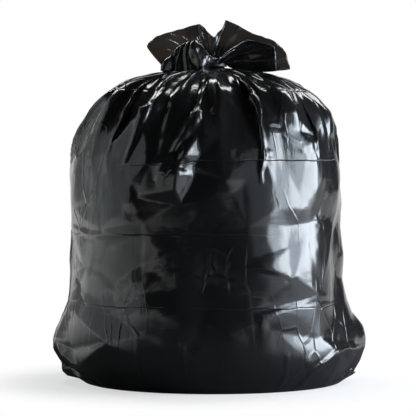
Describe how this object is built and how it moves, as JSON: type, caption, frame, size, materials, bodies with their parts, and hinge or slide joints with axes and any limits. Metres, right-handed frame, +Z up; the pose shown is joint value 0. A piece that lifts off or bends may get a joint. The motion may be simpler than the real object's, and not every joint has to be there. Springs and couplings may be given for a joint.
{
  "type": "filled bin bag",
  "caption": "Full refuse sack of thin black film, standing on its flat bottom, its neck gathered and tied, with the open end fanned out above the tie.",
  "frame": {"origin": "on the floor, under the middle of the sack's own box", "axes": "+Z up through the tied neck, +X towards the right-hand end of the bottom seam as the front is seen, -Y towards the front"},
  "size_m": [0.5114, 0.432, 0.5931],
  "materials": {
    "black_film": "glossy thin polythene film, black, slightly see-through where it is one layer thick",
    "black_band": "satin black elastic band"
  },
  "bodies": {
    "root": {"sack": "black_film", "neck_tie": "black_band"}
  },
  "joints": []
}
